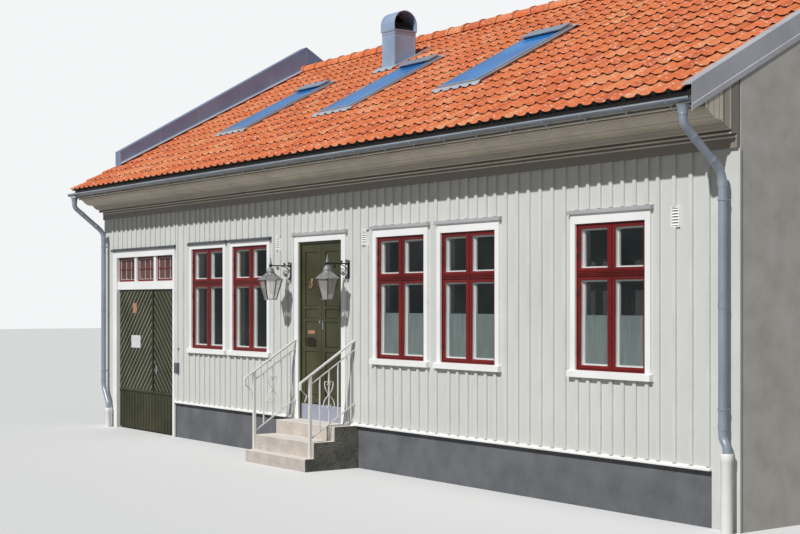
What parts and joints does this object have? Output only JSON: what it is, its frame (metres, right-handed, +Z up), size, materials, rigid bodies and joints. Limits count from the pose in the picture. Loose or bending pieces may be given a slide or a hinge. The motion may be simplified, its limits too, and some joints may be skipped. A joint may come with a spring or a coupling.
{
  "type": "terraced timber villa",
  "caption": "Low timber town villa: boarded walls on a plinth, a two-leaf gate, a panelled double door with railed steps, and a clay tile roof with roof windows.",
  "frame": {"origin": "middle of the footprint with its overhangs, at the lowest ground", "axes": "+Z up, street side facing -Y, +X to the right as seen from the street"},
  "size_m": [13.75, 9.305, 6.7733],
  "materials": {
    "plinth_render": "matte painted render",
    "party_masonry": "matte lime render",
    "wall_boards": "satin paint",
    "floor_timber": "planed",
    "red_joinery": "gloss paint",
    "white_joinery": "satin paint",
    "green_joinery": "satin paint",
    "window_glass": "clear",
    "lantern_glass": "clear",
    "threshold_sheet": "satin paint",
    "dark_ironwork": "painted",
    "aged_brass": "dulled",
    "lantern_copper": "weathered",
    "step_stone": "bush hammered",
    "white_steel": "gloss paint",
    "cornice_boards": "satin paint",
    "roof_timber": "sawn",
    "clay_tile": "fired, unglazed",
    "grey_sheet_metal": "satin coating",
    "grey_rainwater_metal": "satin coating",
    "white_pipe_plastic": "moulded"
  },
  "bodies": {
    "house": {"plinths": "plinth_render", "passage_foundation": "plinth_render", "party_walls": "party_masonry", "front_wall_at_gate": "wall_boards", "front_wall_over_gate": "wall_boards", "front_wall_left": "wall_boards", "front_wall_over_door": "wall_boards", "front_wall_right": "wall_boards", "rear_wall": "wall_boards", "corner_boards": "wall_boards", "ground_floor": "floor_timber", "attic_floor": "floor_timber", "window_frames": "red_joinery", "window_glass": "window_glass", "window_casings": "white_joinery", "gate_frame": "white_joinery", "gate_transom_sashes": "red_joinery", "gate_transom_glass": "window_glass", "door_frame": "green_joinery", "door_casing": "white_joinery", "door_threshold": "threshold_sheet", "landing": "step_stone", "middle_step": "step_stone", "bottom_step": "step_stone", "railings": "white_steel", "lantern_brackets": "dark_ironwork", "lantern_heads": "lantern_copper", "lantern_glass": "lantern_glass", "cornices": "cornice_boards", "water_boards": "white_joinery", "roof_deck_front": "roof_timber", "roof_deck_rear": "roof_timber", "tiles_front": "clay_tile", "tiles_rear": "clay_tile", "ridge_tiles": "clay_tile", "upstand_left": "grey_sheet_metal", "verge_right": "grey_sheet_metal", "roof_window_frames": "grey_sheet_metal", "roof_window_glass": "window_glass", "vent_stack": "grey_sheet_metal", "vent_cowl": "grey_sheet_metal", "gutters": "grey_rainwater_metal", "downpipes": "grey_rainwater_metal", "ground_pipes": "white_pipe_plastic", "wall_vents": "grey_sheet_metal"},
    "gate_leaf_left": {"gate_leaf_left": "green_joinery"},
    "gate_leaf_right": {"gate_leaf_right": "green_joinery", "gate_handle": "dark_ironwork"},
    "door_leaf_left": {"door_leaf_left": "green_joinery", "door_fittings": "aged_brass"},
    "door_leaf_right": {"door_leaf_right": "green_joinery", "door_handle": "aged_brass"}
  },
  "joints": [
    {"name": "gate_left_hinge", "type": "hinge", "parent": "house", "child": "gate_leaf_left", "pos_m": [-6.326, -3.7425, 1.1], "axis": [0, 0, 1], "range_deg": [0, 90]},
    {"name": "gate_right_hinge", "type": "hinge", "parent": "house", "child": "gate_leaf_right", "pos_m": [-4.294, -3.7425, 1.1], "axis": [0, 0, -1], "range_deg": [0, 90]},
    {"name": "door_left_hinge", "type": "hinge", "parent": "house", "child": "door_leaf_left", "pos_m": [-0.581, -3.7725, 1.8], "axis": [0, 0, 1], "range_deg": [0, 90]},
    {"name": "door_right_hinge", "type": "hinge", "parent": "house", "child": "door_leaf_right", "pos_m": [0.391, -3.7725, 1.8], "axis": [0, 0, -1], "range_deg": [0, 90]}
  ]
}
